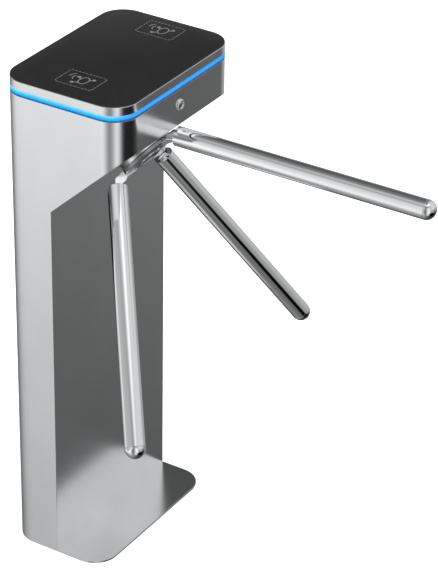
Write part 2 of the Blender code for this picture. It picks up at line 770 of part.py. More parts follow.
def make_pawl(shaft, name, sign):
    """A bell-crank pawl clear of the lock disc, its pin, and the solenoid whose plunger pushes the tail."""
    px, py = PAWL_PIVOT
    outline = arc((px, PAWL_TAIL_Y), 0.005, 0, 180, 6)
    outline += arc((px, py), 0.008, 180, 270, 4)
    outline += [(-0.006, 0.0475), (-0.0009, 0.0395), (0.0031, 0.0395), (0.0070, 0.0490), (0.0070, 0.0580)]
    outline += [(px + 0.012, 0.0615), (px + 0.005, 0.0665)]
    pawl = prism(f"pawl_{name}", [(x, sign * y) for x, y in outline], *PAWL_SPAN, "machined_steel", shaft)
    hole = rod(f"pawl_hole_{name}", PIN_RADIUS + GAP, -0.12, -0.10, parent=shaft, steps=14)
    hole.location = (px, sign * py, 0.0)
    combine(pawl, hole)
    move_origin(pawl, (px, sign * py, 0.0))
    pin = rod(f"pawl_pin_{name}", PIN_RADIUS, BACK_PLATE[1] + GAP, -0.1020, "machined_steel", shaft, 14)
    pin.location = (px, sign * py, 0.0)

    middle = (PAWL_SPAN[0] + PAWL_SPAN[1]) / 2
    near, far = -0.062, -0.094
    low_y, high_y = sorted((sign * (PAWL_TAIL_Y - 0.013), sign * (PAWL_TAIL_Y + 0.013)))
    case = box(
        f"solenoid_{name}",
        (far, low_y, BACK_PLATE[1] + GAP),
        (near, high_y, BACK_PLATE[1] + 0.023),
        "black_plastic",
        shaft,
    )
    bore = rod(f"solenoid_bore_{name}", 0.0038, 0.0, 0.040, parent=shaft, steps=12)
    plunger = rod(f"plunger_{name}", 0.0030, 0.0, 0.0478, "machined_steel", shaft, 12)
    for piece, start in ((bore, far + 0.002), (plunger, far + 0.005)):
        piece.rotation_euler = (0.0, pi / 2, 0.0)
        piece.location = (start, sign * PAWL_TAIL_Y, middle)
    combine(case, bore)


# Lid --------------------------------------------------------------------------------------------
def make_lid():
    hinge = empty("lid_axis", Matrix.Translation((HINGE_X, 0.0, HINGE_HEIGHT)))
    flange_low = SKIRT_TOP - SKIRT_WALL
    profile = [
        (0.0, SKIRT_BOTTOM),
        (0.0, SKIRT_TOP - 0.0005),
        (0.0005, SKIRT_TOP),
        (SKIRT_FLANGE, SKIRT_TOP),
        (SKIRT_FLANGE, flange_low),
        (SKIRT_WALL, flange_low),
        (SKIRT_WALL, SKIRT_BOTTOM),
    ]
    pieces = [swept_ring("lid_frame", profile, "brushed_steel")]
    panel_low = SKIRT_TOP + GAP
    rings = [(0.0004, panel_low), (0.0004, HEIGHT - 0.0010), (0.0014, HEIGHT)]
    pieces.append(rounded_slab("top_panel", rings, "black_glass"))
    for number, y in enumerate(READER_Y, 1):
        low = (READER_X - 0.034, y - 0.024, 0.9635)
        high = (READER_X + 0.034, y + 0.024, SKIRT_TOP)
        pieces.append(box(f"card_reader_{number}", low, high, "black_plastic"))
    pieces.append(make_lid_leaf(flange_low))
    pieces.append(make_lid_catch(flange_low))
    for piece in pieces:
        piece.parent = hinge
        piece.matrix_parent_inverse = Matrix.Translation((-HINGE_X, 0.0, -HINGE_HEIGHT))


def along_y(obj, x, z):
    """Lay a solid that was turned about Z along the Y axis through (x, z)."""
    obj.data.transform(Matrix.Translation((x, 0.0, z)) @ Matrix.Rotation(-pi / 2, 4, "X"))
    return obj


def make_lid_leaf(flange_low):
    half = HINGE_KNUCKLE - GAP
    barrel = tube("lid_hinge_leaf", 0.0018, BARREL_RADIUS, -half, half, "zinc_plate", steps=16)
    along_y(barrel, HINGE_X, HINGE_HEIGHT)
    arm_low = (HINGE_X - 0.0005, -half, HINGE_HEIGHT + 0.0024)
    arm_high = (HINGE_X + 0.0018, half, flange_low - GAP)
    combine(barrel, box("lid_leaf_arm", arm_low, arm_high), "UNION")
    return barrel


def make_fixed_leaf():
    """Two barrels joined by a plate behind the seam rim."""
    plate_x = REAR_X + LED_DEPTH + GAP + 0.003 + GAP
    plate = box(
        "fixed_hinge_leaf",
        (plate_x, -HINGE_HALF, 0.928),
        (plate_x + 0.0018, HINGE_HALF, 0.9520),
        "zinc_plate",
    )
    for number, (low, high) in enumerate(((-HINGE_HALF, -HINGE_KNUCKLE), (HINGE_KNUCKLE, HINGE_HALF)), 1):
        ring = circle((HINGE_X, HINGE_HEIGHT), BARREL_RADIUS, 16)
        foot = [(plate_x, 0.9500), (plate_x + 0.0018, 0.9500)]
        points = [(x, y, z) for x, z in ring + foot for y in (low, high)]
        combine(plate, hull(f"fixed_barrel_{number}", points), "UNION")
    bore = rod("hinge_bore", 0.0018, -0.1, 0.1, steps=12)
    along_y(bore, HINGE_X, HINGE_HEIGHT)
    combine(plate, bore)
    pin = rod("lid_hinge_pin", 0.0015, -HINGE_HALF - 0.001, HINGE_HALF + 0.001, "machined_steel", steps=12)
    along_y(pin, HINGE_X, HINGE_HEIGHT)


def make_lid_catch(flange_low):
    """A bracket that hangs from the skirt's flange, with a lip that the lock's cam turns over."""
    back = HEAD_X - 0.0285
    top = flange_low - GAP
    outline = [
        (back, 0.9090),
        (back + 0.0085, 0.9090),
        (back + 0.0085, 0.9120),
        (back + 0.0025, 0.9120),
        (back + 0.0025, top - 0.0023),
        (HEAD_X - 0.0060, top - 0.0023),
        (HEAD_X - 0.0060, top),
        (back, top),
    ]
    return prism("lid_catch", outline, 0.015, 0.030, "zinc_plate", axis="Y")


# Lock -------------------------------------------------------------------------------------------
def make_lock():
    """A cam lock through the end face. Its frame has Z pointing out of the face."""
    place = Matrix.Translation((HEAD_X, 0.0, LOCK_HEIGHT)) @ Matrix.Rotation(pi / 2, 4, "Y")
    axis = empty("lock_axis", place)
    bore = PLUG_RADIUS + GAP
    profile = [
        (bore, -0.020),
        (LOCK_BODY_RADIUS, -0.020),
        (LOCK_BODY_RADIUS, GAP),
        (0.0105, GAP),
        (0.0105, 0.0018),
        (0.0090, 0.0032),
        (0.0070, 0.0036),
        (bore, 0.0030),
    ]
    turned("lock_barrel", profile, "chrome", axis, steps=28, closed=True)
    plug = rod("lock_plug", PLUG_RADIUS, -0.0217, 0.0028, "chrome", axis, 24)
    combine(plug, box("keyway", (-0.0030, -0.0006, 0.0008), (0.0030, 0.0006, 0.010), parent=axis))
    cam_low, cam_high = -0.025, -0.022
    ring = arc((0.0, 0.0), 0.008, -90, 90, 6) + arc((-0.026, 0.0), 0.005, 90, 270, 6)
    points = [(x, y, z) for x, y in ring for z in (cam_low, cam_high)]
    hull("lock_cam", points, "zinc_plate", axis)


# Assembly ---------------------------------------------------------------------------------------
def main():
    clear_scene()
    make_base_plate()
    make_housing_shell()
    make_recess_panel()
    make_rear_service_panel()
    make_seam()
    make_equipment()
    shaft = empty("mechanism_frame", SHAFT_FRAME)
    make_hub_collar(shaft)
    make_chassis(shaft)
    make_bearings(shaft)
    make_position_sensor(shaft)
    make_detent(shaft)
    for name, sign in (("right", -1), ("left", 1)):
        make_pawl(shaft, name, sign)
    tripod = empty("tripod_axis", SHAFT_FRAME)
    make_main_shaft(tripod)
    make_hub(tripod)
    make_shaft_discs(tripod)
    for number in (1, 2, 3):
        make_arm(tripod, number)
    make_fixed_leaf()
    make_lid()
    make_lock()


main()
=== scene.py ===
import json
from math import cos, pi, radians, sin

import bmesh
import bpy
import numpy as np
from mathutils import Matrix, Vector


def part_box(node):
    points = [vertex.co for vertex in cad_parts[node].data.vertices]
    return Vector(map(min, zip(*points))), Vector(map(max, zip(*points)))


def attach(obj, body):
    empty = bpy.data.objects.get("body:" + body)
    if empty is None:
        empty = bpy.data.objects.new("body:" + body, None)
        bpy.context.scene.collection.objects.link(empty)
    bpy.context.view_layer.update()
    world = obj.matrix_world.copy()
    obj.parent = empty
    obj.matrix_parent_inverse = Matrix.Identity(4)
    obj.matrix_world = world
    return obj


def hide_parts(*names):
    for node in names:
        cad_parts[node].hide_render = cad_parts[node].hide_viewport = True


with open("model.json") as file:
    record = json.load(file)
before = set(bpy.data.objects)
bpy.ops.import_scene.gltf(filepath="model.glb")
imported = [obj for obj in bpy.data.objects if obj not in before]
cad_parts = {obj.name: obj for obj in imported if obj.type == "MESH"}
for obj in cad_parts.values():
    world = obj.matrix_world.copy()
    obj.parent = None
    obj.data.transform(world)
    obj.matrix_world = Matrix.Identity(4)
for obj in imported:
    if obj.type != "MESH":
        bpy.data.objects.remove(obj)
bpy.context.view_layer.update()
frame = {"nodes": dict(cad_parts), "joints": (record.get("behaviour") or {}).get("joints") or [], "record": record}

# Shape values that the CAD boxes don't give -------------------------------------------------------
CORNER_RADIUS = 0.049
CORNER_STEPS = 22
SHEET = 0.002
SKIRT_FLANGE = 0.0155
SKIRT_WALL = 0.0025
LOCK_HOLE = 0.0083
SHAFT_HOLE = 0.021
BOLT_HOLE = 0.0068
CABLE_HOLE = 0.022
SERVICE_FLANGE = 0.0085
SERVICE_GAP = 0.0005
SERVICE_PLATE = 0.0023
HUB_SLEEVE = 0.0165
EDGE = 0.0004
ROUND_STEPS = 72

# Cutters and blanks reach past the whole cabinet.
PAST_SIDE = 0.3
PAST_END = 0.03
BELOW_FLOOR = -0.1
ABOVE_TOP = 1.1

# Camera, at the photo's angle ---------------------------------------------------------------------
# These values come from a fit to the photo's perspective, made outside this script.
CAMERA_PLACE = (2.413, -3.496, 2.956)
CAMERA_TURN = (59.99, -0.82, 32.30)
CAMERA_LENS = 165.2

# What the polished steel reflects: soft panels of a studio, each over the ones before it, as
# (azimuth, elevation, half width, half height, softness, level), in degrees. Azimuth 0 is -Y, 90 is +X.
# The base level and the first nine rows began as a least-squares fit to the photo's tones, made outside
# this script. Rows 2 and 9 were then changed, and the last two rows were chosen one by one.
STUDIO_LEVEL = 0.06
STUDIO_PANELS = (
    (0, 90, 200, 40, 0.57, 0.18),
    (-165, -14, 36, 28, 0.65, 0.42),
    (127, 37, 58, 42, 0.50, 0.70),
    (51, 68, 77, 10, 0.60, 1.20),
    (-30, -2, 58, 63, 0.95, 0.55),
    (-24, -10, 65, 18, 0.48, 1.04),
    (25, 1, 43, 40, 0.39, 1.01),
    (15, 1, 19, 55, 0.95, 0.15),
    (92, -34, 34, 18, 0.52, 0.0),
    (-52, -3, 20, 12, 0.35, 0.42),
    (100, -7, 22, 10, 0.40, 0.34),
)

scene = bpy.context.scene


# Measures of the CAD ------------------------------------------------------------------------------
def points_of(node):
    """A node's corners as an array, at rest."""
    return np.array([vertex.co for vertex in frame["nodes"][node].data.vertices])


def joint_frame(name, forward=None):
    """A matrix whose Z is the joint's axis and whose origin is on it. X is turned towards forward."""
    joint = next(j for j in frame["joints"] if j["name"] == name)
    z = Vector(joint["axis"]).normalized()
    x = Vector(forward or (0.0, 0.0, 1.0))
    x = (x - z * x.dot(z)).normalized()
    turn = Matrix((x, z.cross(x), z)).transposed().to_4x4()
    return Matrix.Translation(Vector(joint["pos_m"])) @ turn


def local(points, place):
    """World points in a frame's own coordinates."""
    turn = np.array(place.to_3x3())
    return (points - np.array(place.translation)) @ turn


def axis_frame(node, start_near):
    """A matrix along a straight round node, from its end near a point to the other end, and the length."""
    points = points_of(node)
    middle = points.mean(axis=0)
    direction = np.linalg.svd(points - middle, full_matrices=False)[2][0]
    along = (points - middle) @ direction
    rim = 0.002
    ends = [
        points[along < along.min() + rim].mean(axis=0),
        points[along > along.max() - rim].mean(axis=0),
    ]
    ends.sort(key=lambda end: np.linalg.norm(end - np.array(start_near)))
    z = Vector(ends[1] - ends[0]).normalized()
    turn = z.to_track_quat("Z", "Y").to_matrix().to_4x4()
    return Matrix.Translation(Vector(ends[0])) @ turn, float(np.linalg.norm(ends[1] - ends[0]))


def round_extent(node, place):
    """A round node's smallest and largest radius, lowest and highest point, about a frame's Z."""
    points = local(points_of(node), place)
    radius = np.hypot(points[:, 0], points[:, 1])
    return radius.min(), radius.max(), points[:, 2].min(), points[:, 2].max()


SHELL_LOW, SHELL_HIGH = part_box("housing_shell")
REAR_X = SHELL_LOW.x
HEAD_X = SHELL_HIGH.x
HALF_DEPTH = SHELL_HIGH.y
PANEL_POINTS = points_of("recess_panel")
COLUMN_X = PANEL_POINTS[PANEL_POINTS[:, 2] < 0.3][:, 0].max()
ELBOW_HEIGHT = PANEL_POINTS[abs(PANEL_POINTS[:, 0] - COLUMN_X) < 1e-4][:, 2].max()
NOSE_POINT = PANEL_POINTS[PANEL_POINTS[:, 0] > PANEL_POINTS[:, 0].max() - 1e-4].min(axis=0)
SLOPE = (NOSE_POINT[2] - ELBOW_HEIGHT) / (NOSE_POINT[0] - COLUMN_X)
TRIPOD = joint_frame("tripod_turn")
HUB_CENTRE = TRIPOD.translation
SLOTS = {row["node"]: row["material_slot"] for row in frame["record"]["subparts"]}


# Node trees ---------------------------------------------------------------------------------------
def add(tree, kind, inputs=None, **settings):
    """A node with its settings; an input given as a socket is linked, and any other value is set."""
    made = tree.nodes.new("ShaderNode" + kind)
    for key, value in settings.items():
        setattr(made, key, value)
    for key, value in (inputs or {}).items():
        if isinstance(value, bpy.types.NodeSocket):
            tree.links.new(value, made.inputs[key])
        else:
            made.inputs[key].default_value = value
    return made


def maths(tree, operation, *values):
    """The result of one arithmetic step on sockets or numbers."""
    return add(tree, "Math", dict(enumerate(values)), operation=operation).outputs[0]


def noise(tree, scale, stretch=(1, 1, 1), detail=3.0, roughness=0.5):
    """Noise over the piece's own coordinates, which a stretch turns into streaks."""
    where = add(tree, "TexCoord").outputs["Object"]
    shaped = add(tree, "Mapping", {"Vector": where, "Scale": stretch}).outputs[0]
    inputs = {"Vector": shaped, "Scale": scale, "Detail": detail, "Roughness": roughness}
    return add(tree, "TexNoise", inputs).outputs[0]


def spread(tree, value, low, high, first=0.3, last=0.7):
    """Maps a noise value's usual range to a range of its own."""
    inputs = {"Value": value, "From Min": first, "From Max": last, "To Min": low, "To Max": high}
    return add(tree, "MapRange", inputs).outputs[0]


def ramp(tree, value, *stops):
    """Colours along a value; each stop is (position, colour)."""
    made = add(tree, "ValToRGB", {"Fac": value})
    elements = made.color_ramp.elements
    while len(elements) < len(stops):
        elements.new(0.5)
    for element, (position, colour) in zip(elements, stops):
        element.position = position
        element.color = (*colour, 1.0)
    return made.outputs[0]


def start_material(name, metallic=0.0, roughness=0.5, colour=(0.5, 0.5, 0.5)):
    """A new Principled material, its node tree and its shader."""
    made = bpy.data.materials.new(name)
    made.use_nodes = True
    shader = made.node_tree.nodes["Principled BSDF"]
    shader.inputs["Metallic"].default_value = metallic
    shader.inputs["Roughness"].default_value = roughness
    shader.inputs["Base Color"].default_value = (*colour, 1.0)
    return made, made.node_tree, shader


def bump(tree, shader, height, distance, strength=1.0):
    """Fine relief on a shader, with its depth in metres."""
    made = add(tree, "Bump", {"Height": height, "Distance": distance, "Strength": strength})
    tree.links.new(made.outputs[0], shader.inputs["Normal"])


def scaled(colour, factor):
    """A darker or lighter shade of a colour."""
    return tuple(channel * factor for channel in colour)


# Materials ----------------------------------------------------------------------------------------
def metal(name, colour, roughness, vary, stretch, grain, depth, cloud=0.03):
    """Metal with fine grain drawn along one way, soft clouding, and small marks that dull the gloss."""
    made, tree, shader = start_material(name, 1.0, roughness, colour)
    lines = noise(tree, grain, stretch, 4.0, 0.65)
    clouds = noise(tree, 9.0, (1, 1, 0.6), 2.0)
    marks = noise(tree, 140.0, (1, 1, 1), 6.0, 0.7)
    tint = ramp(tree, clouds, (0.3, scaled(colour, 1 - cloud)), (0.7, scaled(colour, 1 + cloud)))
    tree.links.new(tint, shader.inputs["Base Color"])
    fine = spread(tree, lines, roughness - vary, roughness + vary)
    dull = spread(tree, marks, 0.0, vary, 0.62, 0.75)
    tree.links.new(maths(tree, "ADD", fine, dull), shader.inputs["Roughness"])
    bump(tree, shader, lines, depth)
    return made


def turned_metal(name, colour, roughness):
    """Lathe-turned steel: faint rings round the axis, and a thin film of oil here and there."""
    made, tree, shader = start_material(name, 1.0, roughness, colour)
    rings = noise(tree, 900.0, (0.15, 0.15, 1.0), 3.0, 0.6)
    film = noise(tree, 45.0, (1, 1, 1), 4.0)
    tint = ramp(tree, film, (0.35, scaled(colour, 0.82)), (0.6, colour), (0.75, scaled(colour, 1.12)))
    tree.links.new(tint, shader.inputs["Base Color"])
    tree.links.new(spread(tree, rings, roughness - 0.08, roughness + 0.08), shader.inputs["Roughness"])
    bump(tree, shader, rings, 0.00002)
    return made


def zinc_plate():
    """Zinc plated sheet with the soft patches of the passivation."""
    made, tree, shader = start_material("zinc_plate", 1.0, 0.34)
    where = add(tree, "TexCoord").outputs["Object"]
    cells = add(tree, "TexVoronoi", {"Vector": where, "Scale": 160.0, "Randomness": 1.0})
    patches = noise(tree, 22.0, (1, 1, 1), 4.0)
    mixed = maths(tree, "ADD", maths(tree, "MULTIPLY", cells.outputs["Distance"], 0.35), patches)
    tint = ramp(
        tree,
        mixed,
        (0.35, (0.44, 0.46, 0.47)),
        (0.60, (0.56, 0.57, 0.56)),
        (0.85, (0.62, 0.60, 0.52)),
    )
    tree.links.new(tint, shader.inputs["Base Color"])
    tree.links.new(spread(tree, patches, 0.26, 0.42), shader.inputs["Roughness"])
    bump(tree, shader, noise(tree, 500.0), 0.00002)
    return made


def moulded(name, colour, roughness, grain=700.0, depth=0.00004):
    """Moulded plastic or rubber with a fine texture and slight rub marks."""
    made, tree, shader = start_material(name, 0.0, roughness, colour)
    texture = noise(tree, grain, (1, 1, 1), 3.0)
    rubs = noise(tree, 30.0, (1, 1, 1), 5.0, 0.6)
    tint = ramp(tree, rubs, (0.35, scaled(colour, 0.8)), (0.7, scaled(colour, 1.35)))
    tree.links.new(tint, shader.inputs["Base Color"])
    tree.links.new(spread(tree, rubs, roughness + 0.06, roughness - 0.06), shader.inputs["Roughness"])
    bump(tree, shader, texture, depth)
    return made


def black_glass():
    """Back-painted black glass: deep colour, high gloss, and barely visible wipe marks."""
    made, tree, shader = start_material("black_glass", 0.0, 0.09)
    wipes = noise(tree, 14.0, (1.0, 0.35, 1.0), 5.0, 0.55)
    tint = ramp(tree, wipes, (0.3, (0.0120, 0.0120, 0.0122)), (0.7, (0.0145, 0.0145, 0.0147)))
    tree.links.new(tint, shader.inputs["Base Color"])
    tree.links.new(spread(tree, wipes, 0.07, 0.15), shader.inputs["Roughness"])
    bump(tree, shader, noise(tree, 5.0), 0.00008)
    return made


def light_strip(low, high):
    """The lit diffuser, white at both ends. Its colour over the height is painted light: deep blue below is
    painted shade and a painted reflection on the shell's edge, pale blue above is a painted reflection of the glow
    on the lid's skirt, and the darker run on the head's end is painted shade.
    """
    made, tree, shader = start_material("light_strip", 0.0, 0.6, (0.003, 0.015, 0.05))
    height = add(tree, "SeparateXYZ", {0: add(tree, "TexCoord").outputs["Object"]}).outputs["Z"]
    across = spread(tree, height, 0.0, 1.0, low, high)
    grain = spread(tree, noise(tree, 260.0, (1, 1, 0.3), 2.0), -0.05, 0.05)
    grained = maths(tree, "ADD", across, grain)
    # Front run by height: the deep blue at the bottom is painted shade and a painted reflection, and the pale blue
    # at the top is a painted reflection of the glow.
    front = ramp(
        tree,
        grained,
        (0.03, (0.010, 0.055, 0.23)),
        (0.20, (0.016, 0.17, 0.56)),
        (0.38, (0.016, 0.44, 0.95)),
        (0.58, (0.020, 0.58, 1.00)),
        (0.80, (0.110, 0.64, 1.00)),
        (0.97, (0.330, 0.72, 1.00)),
    )
    # Head's end run: darker and deeper blue, which is painted shade on that side, with the same painted shade at
    # the bottom.
    end = ramp(
        tree,
        grained,
        (0.03, (0.010, 0.045, 0.18)),
        (0.20, (0.014, 0.110, 0.45)),
        (0.40, (0.015, 0.270, 0.80)),
        (0.58, (0.038, 0.420, 1.00)),
        (0.78, (0.065, 0.390, 0.94)),
        (0.97, (0.045, 0.230, 0.60)),
    )
    # Where the strip faces +X, the painted shade of the end run takes over from the front run's colours.
    facing = add(tree, "SeparateXYZ", {0: add(tree, "TexCoord").outputs["Normal"]}).outputs["X"]
    end_shade_weight = spread(tree, facing, 0.0, 1.0, 0.55, 0.95)
    glow_with_painted_shade = add(tree, "Mix", {0: end_shade_weight, 6: front, 7: end}, data_type="RGBA").outputs[2]
    along = add(tree, "Attribute", attribute_name="along").outputs["Fac"]
    from_middle = maths(tree, "ABSOLUTE", maths(tree, "SUBTRACT", along, 0.5))
    tip = spread(tree, from_middle, 0.0, 1.0, 0.488, 0.496)
    mixed = add(tree, "Mix", {0: tip, 6: glow_with_painted_shade, 7: (0.75, 0.72, 0.80, 1.0)}, data_type="RGBA").outputs[2]
    tree.links.new(mixed, shader.inputs["Emission Color"])
    shader.inputs["Emission Strength"].default_value = 1.0
    body = ramp(tree, across, (0.0, (0.002, 0.010, 0.04)), (1.0, (0.004, 0.020, 0.06)))
    tree.links.new(body, shader.inputs["Base Color"])
    shader.inputs["Specular IOR Level"].default_value = 0.0
    return made


def circuit_board():
    """Green solder mask over copper tracks."""
    made, tree, shader = start_material("circuit_board", 0.0, 0.3)
    where = add(tree, "TexCoord").outputs["Object"]
    cells = {"Vector": where, "Scale": 150.0}
    tracks = add(tree, "TexVoronoi", cells, distance="MANHATTAN", feature="F2")
    repeated = maths(tree, "FRACT", maths(tree, "MULTIPLY", tracks.outputs[0], 3.0))
    lines = maths(tree, "GREATER_THAN", repeated, 0.6)
    colours = {0: lines, 6: (0.006, 0.075, 0.03, 1), 7: (0.02, 0.17, 0.06, 1)}
    tint = add(tree, "Mix", colours, data_type="RGBA")
    tree.links.new(tint.outputs[2], shader.inputs["Base Color"])
    tree.links.new(spread(tree, noise(tree, 60.0), 0.24, 0.36), shader.inputs["Roughness"])
    bump(tree, shader, lines, 0.00003, 0.6)
    return made


def printed_mark():
    """Pale grey print on the glass, a little thin in places."""
    made, tree, shader = start_material("reader_print", 0.0, 0.4)
    tint = ramp(tree, noise(tree, 900.0), (0.3, (0.12, 0.12, 0.12)), (0.7, (0.21, 0.21, 0.21)))
    tree.links.new(tint, shader.inputs["Base Color"])
    tree.links.new(spread(tree, noise(tree, 300.0), 0.35, 0.5), shader.inputs["Roughness"])
    return made


def make_materials():
    """Every material, by the record's material slot or by what it is for."""
    led_low, led_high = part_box("led_strip")
    steel = (0.86, 0.865, 0.87)
    return {
        "brushed_steel": metal("polished_sheet", steel, 0.19, 0.02, (1, 1, 0.012), 1500.0, 0.000003),
        "chrome": metal("chrome", (0.90, 0.905, 0.91), 0.05, 0.015, (1, 1, 0.05), 420.0, 0.000002, 0.015),
        "black_glass": black_glass(),
        "black_plastic": moulded("black_plastic", (0.020, 0.020, 0.021), 0.42),
        "light_strip": light_strip(led_low.z, led_high.z),
        "machined_steel": turned_metal("machined_steel", (0.46, 0.46, 0.47), 0.28),
        "zinc_plate": zinc_plate(),
        "spring_steel": turned_metal("spring_steel", (0.36, 0.36, 0.39), 0.25),
        "circuit_board": circuit_board(),
        "aluminium": metal("aluminium", (0.62, 0.63, 0.64), 0.34, 0.06, (1, 0.02, 1), 900.0, 0.00001),
        "rubber": moulded("rubber", (0.018, 0.018, 0.019), 0.68, 500.0, 0.00008),
        "print": printed_mark(),
        "satin": metal("satin_steel", (0.40, 0.40, 0.405), 0.36, 0.03, (1, 1, 1), 700.0, 0.000003),
    }


# Pieces -------------------------------------------------------------------------------------------
def new_piece(name, data, place=None, sharp=30):
    """Turns a bmesh into a smooth shaded object."""
    if place is not None:
        data.transform(place)
    bmesh.ops.recalc_face_normals(data, faces=data.faces)
    mesh = bpy.data.meshes.new(name)
    data.to_mesh(mesh)
    data.free()
    made = bpy.data.objects.new(name, mesh)
    scene.collection.objects.link(made)
    mesh.shade_smooth()
    mesh.set_sharp_from_angle(angle=radians(sharp))
    return made


def finish_piece(piece, body, kind, nodes=()):
    """Gives a piece its material, the body that it moves with, and the nodes that it stands for."""
    piece.data.materials.append(MATERIALS[kind])
    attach(piece, body)
    if nodes:
        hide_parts(*nodes)
    return piece


def soften(piece, width=EDGE, segments=2):
    """Rounds the sharp edges and keeps the flat faces flat in the shading."""
    made = piece.modifiers.new("edges", "BEVEL")
    made.width = width
    made.segments = segments
    made.limit_method = "ANGLE"
    made.angle_limit = radians(32)
    made.use_clamp_overlap = True
    weighted = piece.modifiers.new("normals", "WEIGHTED_NORMAL")
    weighted.keep_sharp = False
    weighted.weight = 80
    piece.data.shade_smooth()
    return piece


def arc(centre, radius, start, stop, steps):
    """Points on an arc, angles in degrees, both ends included."""
    found = []
    for k in range(steps + 1):
        angle = radians(start + (stop - start) * k / steps)
        found.append((centre[0] + radius * cos(angle), centre[1] + radius * sin(angle)))
    return found


def circle(radius, count, centre=(0, 0)):
    """Points round a whole circle."""
    return arc(centre, radius, 0, 360 - 360 / count, count - 1)


def rounded_rectangle(half_x, half_y, radius, steps=6):
    """A rectangle about the origin with round corners."""
    x = half_x - radius
    y = half_y - radius
    starts = (((x, -y), -90), ((x, y), 0), ((-x, y), 90), ((-x, -y), 180))
    return [point for centre, start in starts for point in arc(centre, radius, start, start + 90, steps)]


def corners(inset, far_x=HEAD_X, steps=CORNER_STEPS):
    """The cabinet's four round corners, drawn in by inset, counter-clockwise from the front right."""
    side = HALF_DEPTH - CORNER_RADIUS
    right = far_x - CORNER_RADIUS
    left = REAR_X + CORNER_RADIUS
    radius = CORNER_RADIUS - inset
    starts = (((right, -side), -90), ((right, side), 0), ((left, side), 90), ((left, -side), 180))
    return [arc(centre, radius, start, start + 90, steps) for centre, start in starts]


def outline(inset, far_x=HEAD_X):
    """The cabinet's outline as one list of points."""
    return [point for corner in corners(inset, far_x) for point in corner]


def bridge_rows(data, rows, around=True, closed=True):
    """Faces between each row of vertices and the next; around joins the last row to the first."""
    count = len(rows[0])
    pairs = list(zip(rows, rows[1:]))
    if around:
        pairs.append((rows[-1], rows[0]))
    for first, second in pairs:
        for k in range(count if closed else count - 1):
            n = (k + 1) % count
            data.faces.new((first[k], first[n], second[n], second[k]))


def swept(name, profile, sharp=30):
    """A closed profile of (inset, height), carried round the cabinet's outline."""
    data = bmesh.new()
    rows = [[data.verts.new((x, y, height)) for x, y in outline(inset)] for inset, height in profile]
    bridge_rows(data, rows)
    return new_piece(name, data, sharp=sharp)


def slab(name, rings, far_x=HEAD_X, sharp=30):
    """Rounded rectangles given as (inset, height), stacked and closed at both ends."""
    data = bmesh.new()
    rows = [[data.verts.new((x, y, height)) for x, y in outline(inset, far_x)] for inset, height in rings]
    bridge_rows(data, rows, around=False)
    data.faces.new(rows[0])
    data.faces.new(rows[-1])
    return new_piece(name, data, sharp=sharp)


def turned(name, profile, place=None, steps=ROUND_STEPS, closed=False, sharp=30):
    """A profile of (radius, height) turned about Z."""
    data = bmesh.new()
    rings = []
    for radius, height in profile:
        count = steps if radius > 0 else 1
        turn = [2 * pi * k / steps for k in range(count)]
        rings.append([data.verts.new((radius * cos(a), radius * sin(a), height)) for a in turn])
    pairs = list(zip(rings, rings[1:]))
    if closed:
        pairs.append((rings[-1], rings[0]))
    for first, second in pairs:
        for k in range(steps):
            n = (k + 1) % steps
            around = [first[k % len(first)], first[n % len(first)]]
            around += [second[n % len(second)], second[k % len(second)]]
            data.faces.new(list(dict.fromkeys(around)))
    return new_piece(name, data, place, sharp)


def prism(name, points, low, high, place=None):
    """An outline in (x, y), extruded from low to high."""
    data = bmesh.new()
    rows = [[data.verts.new((x, y, height)) for x, y in points] for height in (low, high)]
    bridge_rows(data, rows, around=False)
    data.faces.new(rows[0])
    data.faces.new(rows[1])
    return new_piece(name, data, place)


def box_piece(name, low, high):
    """A block between two corners."""
    points = [(low[0], low[1]), (high[0], low[1]), (high[0], high[1]), (low[0], high[1])]
    return prism(name, points, low[2], high[2])


def upright(low, high):
    """A matrix at the middle of a box in plan, on the floor."""
    middle = (low + high) / 2
    return Matrix.Translation((middle.x, middle.y, 0))


def cut(piece, tool, operation="DIFFERENCE"):
    """Applies a Boolean and removes its tool."""
    bpy.context.view_layer.update()
    made = piece.modifiers.new("cut", "BOOLEAN")
    made.operation = operation
    made.object = tool
    graph = bpy.context.evaluated_depsgraph_get()
    mesh = bpy.data.meshes.new_from_object(piece.evaluated_get(graph))
    piece.modifiers.clear()
    old = piece.data
    piece.data = mesh
    bpy.data.meshes.remove(old)
    bpy.data.objects.remove(tool)
    mesh.shade_smooth()
    mesh.set_sharp_from_angle(angle=radians(30))
    return piece


def copy_of(node, width, segments=2, flat=1.0):
    """The node's shape with merged corners, whole flat faces and rounded edges."""
    data = bmesh.new()
    data.from_mesh(frame["nodes"][node].data)
    bmesh.ops.remove_doubles(data, verts=data.verts, dist=1e-6)
    bmesh.ops.dissolve_limit(data, angle_limit=radians(flat), verts=data.verts, edges=data.edges)
    piece = new_piece(node + "_fine", data)
    return soften(piece, width, segments)


# Turns that lay a prism's length along Y, with its outline in (X, Z), or along X, with it in (Y, Z)
ALONG_Y = Matrix(((1, 0, 0, 0), (0, 0, 1, 0), (0, 1, 0, 0), (0, 0, 0, 1)))
ALONG_X = Matrix(((0, 0, 1, 0), (1, 0, 0, 0), (0, 1, 0, 0), (0, 0, 0, 1)))


# Cabinet ------------------------------------------------------------------------------------------
def slant_height(x):
    """How high the slanted face under the head is."""
    return ELBOW_HEIGHT + (x - COLUMN_X) * SLOPE


